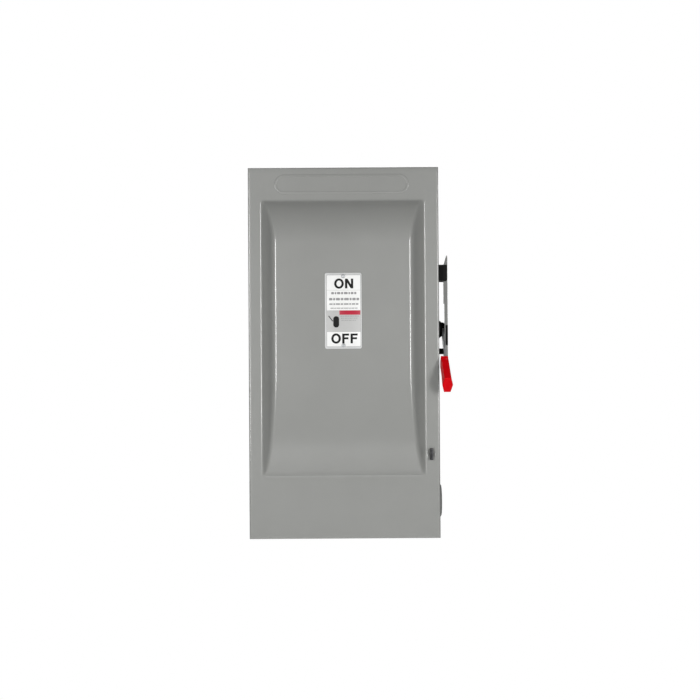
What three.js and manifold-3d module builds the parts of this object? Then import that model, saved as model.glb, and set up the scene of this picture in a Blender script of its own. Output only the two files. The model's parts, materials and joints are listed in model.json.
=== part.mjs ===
// A wall-hung fusible AC disconnect: sheet-steel box, domed door, side lever and three-pole blade switch.
// Millimetres. Origin on the wall, at the middle of the box's back: +X right, +Y into the wall, +Z up.

import * as THREE from 'three';
import { mergeVertices } from 'three/addons/utils/BufferGeometryUtils.js';
import Module from 'manifold-3d';

const wasm = await Module();
wasm.setup();

// ---- Driving dimensions -------------------------------------------------------------------------

const GAP = 0.3; // between pieces that touch
const SHEET = 2;

const BOX = { halfWidth: 187.5, halfHeight: 370, depth: 140, lip: 7 };
const ENDWALL = { flange: 16, ringX: [-110, 0, 110], ringRadius: 30, ringWidth: 1.2, ringDepth: 0.8 };
const BOSS = { y: -70, z: -307, baseRadius: 53, faceRadius: 31, height: 12 };
const HANGING = { x: 140, z: 330, radius: 4.5, keyRadius: 8, keyDrop: 14 };

const DOOR = { halfWidth: 192.6, halfHeight: 375, front: -152, flangeEnd: -136 };
const DOME = {
  x: -2, halfWidth: 166.5, wall: 33.5, rise: 37, top: 308, bottom: -247,
  topCurve: 81, bottomCurve: 141, startAngle: 0.14, steps: 8,
};
const BAND = { x: -3, z: 341, halfLength: 116, halfHeight: 20, relief: 1 };

const HINGE = {
  x: -191, y: -132, z: 290, length: 60, barrelRadius: 3, pinRadius: 1.2, boreRadius: 1.5, leaf: 1.2,
};
const LATCH = {
  x: 175, z: -205, radius: 4.5, collarRadius: 6, collarHeight: 4,
  tabHalfWidth: 3.5, tabHalfHeight: 12, tabThickness: 4, pawlLength: 9.5,
};
const CATCH = { x0: 164, x1: 175.5, webBottom: 56, webTop: 60, lipFront: -126, lipBack: -123 };

const LABEL = { x: -0.8, z: 83.3, width: 73.4, height: 151.2, thickness: 1.2, rivetInset: 6.7 };
const RIVET = { headRadius: 4, headHeight: 1.5, shankRadius: 1.6, shankLength: 5 };

const PIVOT = { y: -75, z: 48 }; // the handle shaft, parallel to X
const OFF_ANGLE = THREE.MathUtils.degToRad(42); // below the horizontal, pointing away from the wall
const SHAFT = { radius: 7, start: 116, end: 214.4 };
const LEVER = { x0: 202.6, x1: 206.2, length: 139, halfWidth: 11, hubRadius: 14.5, hubEnd: 208 };
const LOCK_HOLE = { along: 28, radius: 5 }; // through the lever and the plate, in line at OFF
const GRIP = {
  start: 99, end: 171,
  inner: { x: 202, halfThickness: 7.8, halfFlat: 7.3, halfWidth: 15 },
  outer: { x: 205.3, halfThickness: 10.8, halfFlat: 6.7, halfWidth: 19 },
};
const PLATE = { x0: 210.9, x1: 213.4, front: -103.7, rear: -45, top: 199, bottom: -34 };
const PLATE_FLANGE = { lowX: 206.5, highX: 204.7, bottom: -20, step: 100, shoulder: 178, depth: 2.5 };
const EDGE_GUARD = { x0: 209.3, z0: 15, z1: 56, thickness: 2.2 };
const HUB = { radius: 20.5, noseRadius: 15, shoulder: 195, nose: 202.3 };
const ON_STOP = { front: -134, rear: -70, z0: 146.3, z1: 178 };
const OFF_STOP = { along: 49.5, radius: 6, end: 205.9 };
const SPACER = { y: -62, z: 2, radius: 5 };

const ROTOR = { y: -62, z: 110, radius: 8, start: -150, end: 176 };
const CRANK = { x0: 150, x1: 156, throw: 30, halfWidth: 9, hubRadius: 13, pinRadius: 4 };
const LINK = { x0: 156.4, x1: 161.4, halfWidth: 8 };
const ROTOR_ARM = { x0: 162, x1: 168 };
const FRAME = { x0: 118, x1: 175, sheet: 3, front: -92, bottom: 20, top: 140 };
const SPRING = { start: 124, end: 146, innerRadius: 7.4, outerRadius: 12 };
const HOOK = { x0: 178, x1: 181, length: 60, halfWidth: 5, hubRadius: 12, pinRadius: 3.5, pinStart: 170 };

const POLES = [-110, -34, 42];
const BASE = { x0: -155, x1: 92, y0: -22, z0: -192, z1: 292 };
const BARRIER = { offset: 38, thickness: 4, front: -97.7, bottom: 215 };
const BAR = { halfWidth: 12, thickness: 4 }; // copper bars on the base
const JAW = { thickness: 2.5, front: -74 };
const BLADE = { thickness: 3.4, length: 80, halfWidth: 9, hubRadius: 16 };
const LINE_JAW = { z0: 172, z1: 196, barTop: 262 };
const BLADE_HINGE = { z0: 98, z1: 122, front: -53 };
const FUSE = {
  y: -58, z: -31, bodyLength: 132, radius: 20, capRadius: 21, cap: 18, blade: 24, thickness: 5,
};
const LUG = { halfWidth: 14, front: -54, height: 34, wall: 5, lineZ: 245, loadZ: -168 };
const CHUTE = { inner: 17, wall: 2.5, front: -128, bottom: 160, top: 213, finAngles: [50, 62, 74] };
const CHUTE_FIN = { inner: 86, outer: 100, thickness: 2 };
const SHIELD = { front: -100, bottom: 218, sheet: 2, shelfBack: -60, probeRadius: 6 };
const GROUND_BAR = { x0: -60, x1: 30, y0: -14, z0: -345, z1: -331 };

// ---- Materials ----------------------------------------------------------------------------------

function material(color, roughness, metalness) {
  return new THREE.MeshStandardMaterial({ color, roughness, metalness });
}

const greyPaint = material(0x999a97, 0.45, 0.1);
const blackPlastic = material(0x141414, 0.5, 0);
const redGrip = material(0xc8101c, 0.35, 0);
const zincSteel = material(0xb9bcbe, 0.35, 0.9);
const copper = material(0xc9a27a, 0.3, 1);
const aluminium = material(0xc4c6c8, 0.4, 0.9);
const phenolic = material(0x2a2623, 0.6, 0);
const fibre = material(0x8d2f28, 0.6, 0);
const labelWhite = material(0xf0f0ee, 0.4, 0);
const clearSheet = material(0xdde6ea, 0.15, 0);
const fuseBody = material(0x7d8a5c, 0.55, 0);

// ---- Solids -------------------------------------------------------------------------------------

function toSolid(geometry) {
  const bare = geometry.clone();
  bare.deleteAttribute('normal');
  bare.deleteAttribute('uv');
  const merged = mergeVertices(bare, 1e-4);
  return new wasm.Manifold(new wasm.Mesh({
    numProp: 3,
    vertProperties: new Float32Array(merged.attributes.position.array),
    triVerts: new Uint32Array(merged.index.array),
  }));
}

function toMesh(name, solid, look) {
  const result = solid.getMesh();
  const geometry = new THREE.BufferGeometry();
  geometry.setAttribute('position', new THREE.BufferAttribute(new Float32Array(result.vertProperties), 3));
  geometry.setIndex(new THREE.BufferAttribute(new Uint32Array(result.triVerts), 1));
  geometry.computeVertexNormals();
  const mesh = new THREE.Mesh(geometry, look);
  mesh.name = name;
  return mesh;
}

function box(x0, x1, y0, y1, z0, z1) {
  const geometry = new THREE.BoxGeometry(x1 - x0, y1 - y0, z1 - z0);
  geometry.translate((x0 + x1) / 2, (y0 + y1) / 2, (z0 + z1) / 2);
  return toSolid(geometry);
}

// A round bar along one axis. The centre is given by the two other coordinates, in x, y, z order.
function rod(axis, radius, start, end, centre, segments = 24) {
  const geometry = new THREE.CylinderGeometry(radius, radius, end - start, segments);
  const middle = (start + end) / 2;
  if (axis === 'x') {
    geometry.rotateZ(-Math.PI / 2);
    geometry.translate(middle, centre[0], centre[1]);
  } else if (axis === 'y') {
    geometry.translate(centre[0], middle, centre[1]);
  } else {
    geometry.rotateX(Math.PI / 2);
    geometry.translate(centre[0], centre[1], middle);
  }
  return toSolid(geometry);
}

// A flat plate parallel to the YZ plane, from an outline of [y, z] points or a Shape in those axes.
function plateX(outline, x0, x1, curveSegments = 12) {
  const drawn = Array.isArray(outline);
  const shape = drawn ? new THREE.Shape(outline.map(([u, v]) => new THREE.Vector2(u, v))) : outline;
  const geometry = new THREE.ExtrudeGeometry(shape, { depth: x1 - x0, bevelEnabled: false, curveSegments });
  const axes = new THREE.Matrix4().makeBasis(
    new THREE.Vector3(0, 1, 0), new THREE.Vector3(0, 0, 1), new THREE.Vector3(1, 0, 0));
  geometry.applyMatrix4(axes);
  geometry.translate(x0, 0, 0);
  return toSolid(geometry);
}

// A flat plate parallel to the XZ plane, from an outline of [x, z] points.
function plateY(outline, y0, y1) {
  const shape = new THREE.Shape(outline.map(([x, z]) => new THREE.Vector2(x, z)));
  const geometry = new THREE.ExtrudeGeometry(shape, { depth: y1 - y0, bevelEnabled: false });
  geometry.rotateX(Math.PI / 2);
  geometry.translate(0, y1, 0);
  return toSolid(geometry);
}

// A profile in the XY plane drawn out along Z.
function columnZ(points, z0, z1) {
  const shape = new THREE.Shape(points.map(([x, y]) => new THREE.Vector2(x, y)));
  const geometry = new THREE.ExtrudeGeometry(shape, { depth: z1 - z0, bevelEnabled: false });
  geometry.translate(0, 0, z0);
  return toSolid(geometry);
}

// A solid turned about X, from the [radius, x] points of its half section. A ring's points end at the first.
function turnedX(profile, centre, segments = 24) {
  const points = profile.map(([radius, x]) => new THREE.Vector2(radius, x));
  const geometry = new THREE.LatheGeometry(points, segments);
  geometry.rotateZ(-Math.PI / 2);
  geometry.translate(0, centre[0], centre[1]);
  return toSolid(geometry);
}

// The cutter for a shallow round groove, of the given mean radius and width.
function ring(axis, radius, width, start, end, centre) {
  const outer = rod(axis, radius + width / 2, start, end, centre, 32);
  const inner = rod(axis, radius - width / 2, start - 1, end + 1, centre, 32);
  return outer.subtract(inner);
}

// A skin through like sections, each a convex loop that runs counter-clockwise seen from the last one.
function loft(sections) {
  const count = sections[0].length;
  const last = (sections.length - 1) * count;
  const index = [];
  for (let row = 0; row < sections.length - 1; row += 1) {
    for (let i = 0; i < count; i += 1) {
      const a = row * count + i;
      const b = row * count + (i + 1) % count;
      index.push(a, b, b + count, a, b + count, a + count);
    }
  }
  for (let i = 1; i < count - 1; i += 1) {
    index.push(0, i + 1, i);
    index.push(last, last + i, last + i + 1);
  }
  const geometry = new THREE.BufferGeometry();
  geometry.setAttribute('position', new THREE.Float32BufferAttribute(sections.flat(2), 3));
  geometry.setIndex(index);
  return toSolid(geometry);
}

// An arm with round ends between two points of the YZ plane.
function arm(from, to, halfWidth, x0, x1, segments = 10) {
  const direction = Math.atan2(to[1] - from[1], to[0] - from[0]);
  const shape = new THREE.Shape();
  shape.absarc(to[0], to[1], halfWidth, direction - Math.PI / 2, direction + Math.PI / 2, false);
  shape.absarc(from[0], from[1], halfWidth, direction + Math.PI / 2, direction + Math.PI * 1.5, false);
  return plateX(shape, x0, x1, segments);
}

const union = (first, ...others) => others.reduce((sum, solid) => sum.add(solid), first);
const cut = (first, ...others) => others.reduce((rest, solid) => rest.subtract(solid), first);

// ---- Enclosure ----------------------------------------------------------------------------------

function enclosureWrapper() {
  const w = BOX.halfWidth;
  const inside = w - SHEET;
  const lipEnd = w - BOX.lip;
  const front = -BOX.depth;
  const profile = [
    [-w, 0], [-w, front], [-lipEnd, front], [-lipEnd, front + SHEET], [-inside, front + SHEET],
    [-inside, -SHEET], [inside, -SHEET], [inside, front + SHEET], [lipEnd, front + SHEET],
    [lipEnd, front], [w, front], [w, 0],
  ];
  const face = w + BOSS.height;
  const axis = [BOSS.y, BOSS.z];
  const boss = turnedX([
    [0, inside], [BOSS.baseRadius, inside], [BOSS.faceRadius, face], [0, face],
  ], axis, 32);
  const hollow = turnedX([
    [0, inside - 1], [BOSS.baseRadius - SHEET, inside - 1], [BOSS.faceRadius - SHEET, face - SHEET],
    [0, face - SHEET],
  ], axis, 32);
  const groove = ring('x', BOSS.faceRadius - 8, ENDWALL.ringWidth, face - ENDWALL.ringDepth, face + 1, axis);
  const holes = [];
  for (const side of [-1, 1]) {
    const x = side * HANGING.x;
    holes.push(rod('y', HANGING.radius, -SHEET - 1, 1, [x, HANGING.z], 16));
    holes.push(rod('y', HANGING.keyRadius, -SHEET - 1, 1, [x, HANGING.z - HANGING.keyDrop], 16));
    holes.push(box(
      x - HANGING.radius, x + HANGING.radius, -SHEET - 1, 1, HANGING.z - HANGING.keyDrop, HANGING.z));
    holes.push(rod('y', HANGING.radius, -SHEET - 1, 1, [x, -HANGING.z], 16));
  }
  const shaftHole = rod('x', SHAFT.radius + 1, inside - 1, w + 1, [PIVOT.y, PIVOT.z]);
  const shell = union(columnZ(profile, -BOX.halfHeight, BOX.halfHeight), boss);
  return toMesh('enclosure_wrapper', cut(shell, hollow, groove, shaftHole, ...holes), greyPaint);
}

function endwall(name, side) {
  const inside = BOX.halfWidth - SHEET - GAP;
  const lipEnd = BOX.halfWidth - BOX.lip - GAP;
  const back = -SHEET - GAP;
  const front = -BOX.depth;
  const face = BOX.halfHeight;
  const plate = box(-inside, inside, front + SHEET + GAP, back, face - SHEET, face);
  const bridge = box(-lipEnd, lipEnd, front, front + SHEET + 1, face - SHEET, face);
  const lip = box(-lipEnd, lipEnd, front, front + SHEET, face - ENDWALL.flange, face);
  const rear = box(-inside, inside, back - SHEET, back, face - ENDWALL.flange, face);
  const grooves = ENDWALL.ringX.map((x) => ring(
    'z', ENDWALL.ringRadius, ENDWALL.ringWidth, face - ENDWALL.ringDepth, face + 1, [x, BOSS.y]));
  const solid = cut(union(plate, bridge, lip, rear), ...grooves);
  return toMesh(name, side > 0 ? solid : solid.rotate([0, 180, 0]), greyPaint);
}

function hinge(name, z) {
  const group = new THREE.Group();
  const axis = [HINGE.x, HINGE.y];
  const third = HINGE.length / 3;
  const z0 = z - HINGE.length / 2;
  const z1 = z + HINGE.length / 2;
  const bore = rod('z', HINGE.boreRadius, z0 - 1, z1 + 1, axis, 16);
  const knuckle = (start, end) => rod('z', HINGE.barrelRadius, start, end, axis, 16);
  const wall = -BOX.halfWidth - GAP;
  const bodyLeaf = box(wall - HINGE.leaf, wall, HINGE.y, HINGE.y + 26, z0, z1);
  const doorSpace = box(
    HINGE.x - 4, wall + 1, HINGE.y - 4, HINGE.y + 4, z0 + third - GAP, z1 - third + GAP);
  const bodySide = cut(union(knuckle(z0, z1), bodyLeaf), doorSpace, bore);
  const flange = -DOOR.halfWidth + SHEET + GAP;
  const doorLeaf = box(
    flange, flange + HINGE.leaf, DOOR.front + SHEET + GAP, HINGE.y, z0 + third, z1 - third);
  const doorSide = cut(union(knuckle(z0 + third, z1 - third), doorLeaf), bore);
  group.add(toMesh(`${name}_body_leaf`, bodySide, zincSteel));
  group.add(toMesh(`${name}_door_leaf`, doorSide, zincSteel));
  group.add(toMesh(`${name}_pin`, rod('z', HINGE.pinRadius, z0 - 2, z1 + 2, axis, 12), zincSteel));
  return group;
}

// ---- Door ---------------------------------------------------------------------------------------

// Sections of the pressed dome, from its bottom to its top, each a loop in a plane of constant z.
// Its rise follows a quarter ellipse at each end, and its side walls keep one slope all the way.
function domeSections(inset, back) {
  const front = DOOR.front + inset;
  const stations = [];
  for (let i = 0; i <= DOME.steps; i += 1) {
    const angle = THREE.MathUtils.lerp(DOME.startAngle, Math.PI / 2, i / DOME.steps);
    const drop = 1 - Math.cos(angle - DOME.startAngle * (1 - i / DOME.steps));
    stations.push({ drop, rise: Math.sin(angle) });
  }
  const low = DOME.bottom + inset;
  const high = DOME.top - inset;
  const bottom = stations.map(({ drop, rise }) => ({ z: low + DOME.bottomCurve * drop, rise }));
  const top = stations.map(({ drop, rise }) => ({ z: high - DOME.topCurve * drop, rise }));
  return [...bottom, ...top.reverse()].map(({ z, rise }) => {
    const half = DOME.halfWidth - inset;
    const slope = DOME.wall * rise;
    const crest = front - DOME.rise * rise;
    return [
      [DOME.x - half, back, z], [DOME.x - half, front, z], [DOME.x - half + slope, crest, z],
      [DOME.x + half - slope, crest, z], [DOME.x + half, front, z], [DOME.x + half, back, z],
    ];
  });
}

function doorPanel() {
  const { halfWidth: w, halfHeight: h, front, flangeEnd } = DOOR;
  const outer = box(-w, w, front, flangeEnd, -h, h);
  const inner = box(-w + SHEET, w - SHEET, front + SHEET, flangeEnd + 1, -h + SHEET, h - SHEET);
  const dome = loft(domeSections(0, front + SHEET / 2));
  const hollow = loft(domeSections(SHEET, front + SHEET + 1));
  const band = union(
    box(BAND.x - BAND.halfLength, BAND.x + BAND.halfLength, front - BAND.relief, front + SHEET / 2,
      BAND.z - BAND.halfHeight, BAND.z + BAND.halfHeight),
    rod('y', BAND.halfHeight, front - BAND.relief, front + SHEET / 2, [BAND.x - BAND.halfLength, BAND.z]),
    rod('y', BAND.halfHeight, front - BAND.relief, front + SHEET / 2, [BAND.x + BAND.halfLength, BAND.z]));
  const crest = front - DOME.rise;
  const rivetHoles = rivetHeights().map((z) => rod(
    'y', RIVET.shankRadius + GAP, crest - 2, crest + SHEET + 2, [LABEL.x, z], 12));
  const latchHole = rod('y', LATCH.radius + GAP, front - 1, front + SHEET + 1, [LATCH.x, LATCH.z]);
  const pressing = union(cut(union(outer, dome), inner, hollow), band);
  return toMesh('door_panel', cut(pressing, latchHole, ...rivetHoles), greyPaint);
}

function rivetHeights() {
  const reach = LABEL.height / 2 - LABEL.rivetInset;
  return [LABEL.z + reach, LABEL.z - reach];
}

function label() {
  const group = new THREE.Group();
  const back = DOOR.front - DOME.rise - GAP;
  const front = back - LABEL.thickness;
  const plate = box(LABEL.x - LABEL.width / 2, LABEL.x + LABEL.width / 2, front, back,
    LABEL.z - LABEL.height / 2, LABEL.z + LABEL.height / 2);
  const holes = rivetHeights().map((z) => rod(
    'y', RIVET.shankRadius + GAP, front - 1, back + 1, [LABEL.x, z], 12));
  group.add(toMesh('label_plate', cut(plate, ...holes), labelWhite));
  const headBack = front - GAP;
  ['label_rivet_upper', 'label_rivet_lower'].forEach((name, i) => {
    const centre = [LABEL.x, rivetHeights()[i]];
    const head = rod('y', RIVET.headRadius, headBack - RIVET.headHeight, headBack, centre, 16);
    const shank = rod('y', RIVET.shankRadius, headBack - 1, headBack + RIVET.shankLength, centre, 12);
    group.add(toMesh(name, head.add(shank), zincSteel));
  });
  return group;
}

function latch() {
  const group = new THREE.Group();
  const centre = [LATCH.x, LATCH.z];
  const face = DOOR.front - GAP;
  const behindLip = -BOX.depth + SHEET + 1;
  const tabBack = face - LATCH.collarHeight + 1;
  const tab = box(
    LATCH.x - LATCH.tabHalfWidth, LATCH.x + LATCH.tabHalfWidth, tabBack - LATCH.tabThickness, tabBack,
    LATCH.z - LATCH.tabHalfHeight, LATCH.z + LATCH.tabHalfHeight);
  const collar = rod('y', LATCH.collarRadius, face - LATCH.collarHeight, face, centre);
  const stem = rod('y', LATCH.radius, face - 1, behindLip + 5, centre);
  const pawl = box(LATCH.x - LATCH.radius, LATCH.x + LATCH.radius, behindLip, behindLip + 3,
    LATCH.z - 8, LATCH.z + LATCH.pawlLength);
  const pawlEye = rod('y', 8, behindLip, behindLip + 3, [LATCH.x - 3.5, LATCH.z]);
  const stemHole = rod('y', LATCH.radius + GAP, behindLip - 1, behindLip + 4, centre);
  group.add(toMesh('latch_screw', union(tab, collar, stem), zincSteel));
  group.add(toMesh('latch_pawl', cut(union(pawl, pawlEye), stemHole), zincSteel));
  return group;
}

function doorCatch() {
  const seat = DOOR.front + SHEET + GAP;
  const foot = box(CATCH.x0, CATCH.x1, seat, seat + SHEET, CATCH.webBottom, CATCH.webTop + 30);
  const web = box(CATCH.x0, CATCH.x1, seat, CATCH.lipBack, CATCH.webBottom, CATCH.webTop);
  const lip = box(CATCH.x0, CATCH.x1, CATCH.lipFront, CATCH.lipBack, PIVOT.z - 8, CATCH.webTop);
  return toMesh('door_catch', union(foot, web, lip), zincSteel);
}

// ---- Handle, drawn about its pivot and pointing along -Y, then turned down to OFF ----------------

function gripSection(along, { x, halfThickness, halfFlat, halfWidth }) {
  return [
    [x + halfFlat, -along, halfWidth], [x - halfFlat, -along, halfWidth], [x - halfThickness, -along, 0],
    [x - halfFlat, -along, -halfWidth], [x + halfFlat, -along, -halfWidth], [x + halfThickness, -along, 0],
  ];
}

function handle() {
  const group = new THREE.Group();
  const centre = [0, 0];
  const bore = (x0, x1) => rod('x', SHAFT.radius + GAP, x0 - 1, x1 + 1, centre);

  const bar = arm(centre, [-LEVER.length + LEVER.halfWidth, 0], LEVER.halfWidth, LEVER.x0, LEVER.x1);
  const hub = rod('x', LEVER.hubRadius, LEVER.x0, LEVER.hubEnd, centre);
  const lockHole = rod('x', LOCK_HOLE.radius, LEVER.x0 - 1, LEVER.x1 + 1, [-LOCK_HOLE.along, 0], 16);
  const lever = cut(union(bar, hub), bore(LEVER.x0, LEVER.hubEnd), lockHole);
  group.add(toMesh('handle_lever', lever, zincSteel));

  const grip = loft([gripSection(GRIP.start, GRIP.inner), gripSection(GRIP.end, GRIP.outer)]);
  const socket = box(LEVER.x0 - GAP, LEVER.x1 + GAP, -LEVER.length - GAP, -GRIP.start + 1,
    -LEVER.halfWidth - GAP, LEVER.halfWidth + GAP);
  group.add(toMesh('handle_grip', grip.subtract(socket), redGrip));

  group.add(toMesh('handle_shaft', rod('x', SHAFT.radius, SHAFT.start, SHAFT.end, centre), zincSteel));

  const web = arm(centre, [-CRANK.throw, 0], CRANK.halfWidth, CRANK.x0, CRANK.x1);
  const crankHub = rod('x', CRANK.hubRadius, CRANK.x0, CRANK.x1, centre);
  const pin = rod('x', CRANK.pinRadius, CRANK.x0, LINK.x1 + GAP, [-CRANK.throw, 0], 16);
  group.add(toMesh('crank', cut(union(web, crankHub, pin), bore(CRANK.x0, CRANK.x1)), zincSteel));

  // The hook points straight down at OFF, and straight at the door at ON.
  const downFromLever = 90 - THREE.MathUtils.radToDeg(OFF_ANGLE);
  const reach = box(HOOK.x0, HOOK.x1, -HOOK.length, 0, -HOOK.halfWidth, HOOK.halfWidth);
  const hookHub = rod('x', HOOK.hubRadius, HOOK.x0, HOOK.x1, centre);
  const hookEnd = [HOOK.pinRadius - HOOK.length, 0];
  const hookPin = rod('x', HOOK.pinRadius, HOOK.pinStart, HOOK.x0 - GAP, hookEnd, 16);
  const hook = cut(union(hookHub, reach), bore(HOOK.x0, HOOK.x1)).rotate([downFromLever, 0, 0]);
  group.add(toMesh('interlock_hook', hook, zincSteel));
  group.add(toMesh('interlock_pin', hookPin.rotate([downFromLever, 0, 0]), zincSteel));

  group.position.set(0, PIVOT.y, PIVOT.z);
  group.rotation.x = OFF_ANGLE;
  return group;
}

// A point of the handle in the box's axes, from its distances along and across the lever at OFF.
function handlePoint(along, across) {
  const cos = Math.cos(OFF_ANGLE);
  const sin = Math.sin(OFF_ANGLE);
  return [PIVOT.y - along * cos - across * sin, PIVOT.z - along * sin + across * cos];
}

function sideFittings() {
  const group = new THREE.Group();
  const wall = BOX.halfWidth + GAP;
  const reach = PLATE.x0 - GAP;
  const centre = [PIVOT.y, PIVOT.z];
  const bore = SHAFT.radius + GAP;
  const hub = turnedX([
    [bore, wall], [HUB.radius, wall], [HUB.radius, HUB.shoulder], [HUB.noseRadius, HUB.nose],
    [bore, HUB.nose], [bore, wall],
  ], centre);
  group.add(toMesh('handle_bearing', hub, blackPlastic));

  // The stop carries the plate from behind its flange, and reaches across the flange in front.
  const { front, rear, top, bottom } = PLATE;
  const flangeBack = front + PLATE_FLANGE.depth;
  const onStop = union(
    box(wall, reach, ON_STOP.front, front - GAP, ON_STOP.z0, ON_STOP.z1),
    box(wall, PLATE_FLANGE.highX - GAP, ON_STOP.front, ON_STOP.rear, ON_STOP.z0, ON_STOP.z1),
    box(wall, reach, flangeBack + GAP, ON_STOP.rear, ON_STOP.z0, ON_STOP.z1));
  group.add(toMesh('on_stop_block', onStop, blackPlastic));
  const offStopCentre = handlePoint(OFF_STOP.along, -(LEVER.halfWidth + OFF_STOP.radius + GAP));
  const offStop = rod('x', OFF_STOP.radius, wall, OFF_STOP.end, offStopCentre, 16);
  group.add(toMesh('off_stop_pin', offStop, blackPlastic));
  const spacer = rod('x', SPACER.radius, wall, reach, [SPACER.y, SPACER.z], 16);
  group.add(toMesh('plate_spacer', spacer, blackPlastic));

  const web = plateX([
    [front, top], [front, bottom + 14], [front + 14, bottom], [rear - 14, bottom], [rear, bottom + 14],
    [rear, top - 70], [front + 6, top],
  ], PLATE.x0, PLATE.x1);
  const { lowX, highX, step, shoulder } = PLATE_FLANGE;
  const flange = plateY([
    [lowX, PLATE_FLANGE.bottom], [PLATE.x1, PLATE_FLANGE.bottom], [PLATE.x1, top], [PLATE.x0, top],
    [highX, shoulder], [highX, step], [lowX, step],
  ], front, flangeBack);
  const shaftHole = rod('x', bore, PLATE.x0 - 1, PLATE.x1 + 1, centre);
  const lockCentre = handlePoint(LOCK_HOLE.along, 0);
  const lockHole = rod('x', LOCK_HOLE.radius, PLATE.x0 - 1, PLATE.x1 + 1, lockCentre, 16);
  group.add(toMesh('padlock_plate', cut(union(web, flange), shaftHole, lockHole), greyPaint));
  const guardBack = front - GAP;
  const guard = box(
    EDGE_GUARD.x0, PLATE.x1, guardBack - EDGE_GUARD.thickness, guardBack, EDGE_GUARD.z0, EDGE_GUARD.z1);
  group.add(toMesh('edge_guard', guard, blackPlastic));
  return group;
}

// ---- Drive and switch ---------------------------------------------------------------------------

function driveLink() {
  const start = handlePoint(CRANK.throw, 0);
  const end = [start[0] + ROTOR.y - PIVOT.y, start[1] + ROTOR.z - PIVOT.z];
  const holes = [start, end].map((centre) => rod(
    'x', CRANK.pinRadius + GAP, LINK.x0 - 1, LINK.x1 + 1, centre, 16));
  return toMesh('drive_link', cut(arm(start, end, LINK.halfWidth, LINK.x0, LINK.x1), ...holes), zincSteel);
}

function rotor() {
  const group = new THREE.Group();
  const start = handlePoint(CRANK.throw, 0);
  const pinCentre = [start[0] - PIVOT.y, start[1] - PIVOT.z];
  const bar = rod('x', ROTOR.radius, ROTOR.start, ROTOR.end, [0, 0]);
  const armSolid = arm([0, 0], pinCentre, CRANK.halfWidth, ROTOR_ARM.x0, ROTOR_ARM.x1);
  const pin = rod('x', CRANK.pinRadius, LINK.x0 + GAP, ROTOR_ARM.x1, pinCentre, 16);
  group.add(toMesh('rotor_crossbar', union(bar, armSolid, pin), fibre));
  POLES.forEach((x, i) => {
    const x0 = x - BLADE.thickness / 2;
    const x1 = x + BLADE.thickness / 2;
    const hub = rod('x', BLADE.hubRadius, x0, x1, [0, 0]);
    const tongue = plateX([
      [0, -BLADE.halfWidth], [0, BLADE.halfWidth], [-BLADE.length + 6, BLADE.halfWidth],
      [-BLADE.length, BLADE.halfWidth - 5], [-BLADE.length, -BLADE.halfWidth + 5],
      [-BLADE.length + 6, -BLADE.halfWidth],
    ].reverse(), x0, x1);
    const bore = rod('x', ROTOR.radius + GAP, x0 - 1, x1 + 1, [0, 0]);
    group.add(toMesh(`blade_${i + 1}`, cut(union(hub, tongue), bore), copper));
  });
  group.position.set(0, ROTOR.y, ROTOR.z);
  return group;
}

function mechanismFrame() {
  const back = -SHEET - GAP;
  const cheek = (x0) => box(x0, x0 + FRAME.sheet, FRAME.front, back, FRAME.bottom, FRAME.top);
  const web = box(FRAME.x0, FRAME.x1, back - FRAME.sheet, back, FRAME.bottom, FRAME.top);
  const shaftHole = rod('x', SHAFT.radius + GAP, FRAME.x0 - 1, FRAME.x1 + 1, [PIVOT.y, PIVOT.z]);
  const rotorHole = rod('x', ROTOR.radius + GAP, FRAME.x0 - 1, FRAME.x1 + 1, [ROTOR.y, ROTOR.z]);
  const solid = union(cheek(FRAME.x0), cheek(FRAME.x1 - FRAME.sheet), web);
  return toMesh('mechanism_frame', cut(solid, shaftHole, rotorHole), zincSteel);
}

function operatingSpring() {
  const { start, end, innerRadius, outerRadius } = SPRING;
  const sleeve = turnedX([
    [innerRadius, start], [outerRadius, start], [outerRadius, end], [innerRadius, end], [innerRadius, start],
  ], [PIVOT.y, PIVOT.z]);
  return toMesh('operating_spring', sleeve, zincSteel);
}

function switchBase() {
  const back = -SHEET - GAP;
  const slab = box(BASE.x0, BASE.x1, BASE.y0, back, BASE.z0, BASE.z1);
  const walls = [POLES[0] - BARRIER.offset, ...POLES.map((x) => x + BARRIER.offset)];
  const barriers = walls.map((x) => box(x - BARRIER.thickness / 2, x + BARRIER.thickness / 2,
    BARRIER.front, BASE.y0 + 1, BARRIER.bottom, BASE.z1));
  return toMesh('switch_base', union(slab, ...barriers), phenolic);
}

// Two upright cheeks that hold a blade of the given thickness, centred on x.
function jaws(x, grip, front, z0, z1) {
  const inner = grip / 2 + GAP;
  const outer = inner + JAW.thickness;
  const root = BASE.y0 - GAP - 1;
  const left = box(x - outer, x - inner, front, root, z0, z1);
  return left.add(box(x + inner, x + outer, front, root, z0, z1));
}

function copperBar(x, z0, z1) {
  const back = BASE.y0 - GAP;
  return box(x - BAR.halfWidth, x + BAR.halfWidth, back - BAR.thickness, back, z0, z1);
}

function wireLug(name, x, z) {
  const back = BASE.y0 - 2 * GAP - BAR.thickness;
  const z0 = z - LUG.height / 2;
  const z1 = z + LUG.height / 2;
  const block = box(x - LUG.halfWidth, x + LUG.halfWidth, LUG.front, back, z0, z1);
  const wireWay = box(x - LUG.halfWidth + LUG.wall, x + LUG.halfWidth - LUG.wall,
    LUG.front + LUG.wall + 1, back - LUG.wall, z0 - 1, z1 + 1);
  return toMesh(name, block.subtract(wireWay), aluminium);
}

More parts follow.
